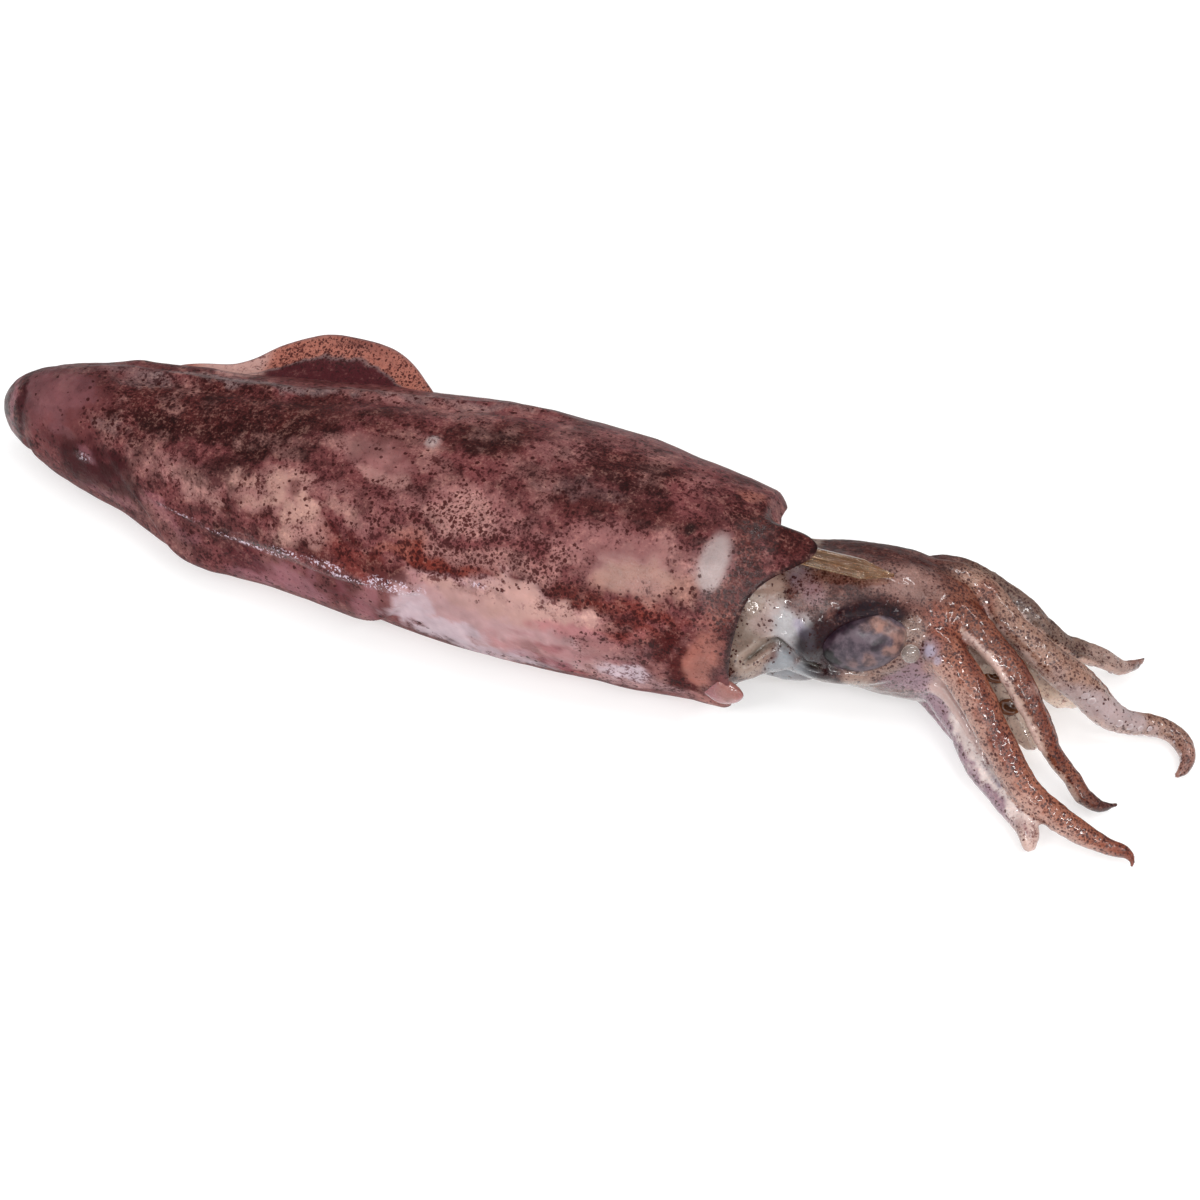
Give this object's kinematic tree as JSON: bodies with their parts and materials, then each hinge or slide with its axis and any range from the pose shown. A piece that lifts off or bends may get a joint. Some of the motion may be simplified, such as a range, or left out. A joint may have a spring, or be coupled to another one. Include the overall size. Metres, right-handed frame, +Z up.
{
  "type": "whole raw squid",
  "caption": "Whole raw squid lying on its belly, with mottled mantle, fins, head, eyes, pen tip and curled arms.",
  "frame": {"origin": "on the table under the middle of the whole squid", "axes": "+X from the tail to the arms, +Z up from the table, -Y the flank that the picture shows"},
  "size_m": [0.3231, 0.0691, 0.0511],
  "materials": {
    "mantle_skin": "wet mottled maroon skin over cream flesh",
    "head_skin": "wet brown-pink skin with dark fine spots",
    "eye_skin": "wet, dark blue-grey under a clear skin",
    "pen_horn": "clear amber horn"
  },
  "bodies": {
    "root": {"mantle": "mantle_skin", "head": "head_skin", "eye_near": "eye_skin", "eye_far": "eye_skin", "pen": "pen_horn"}
  },
  "joints": []
}
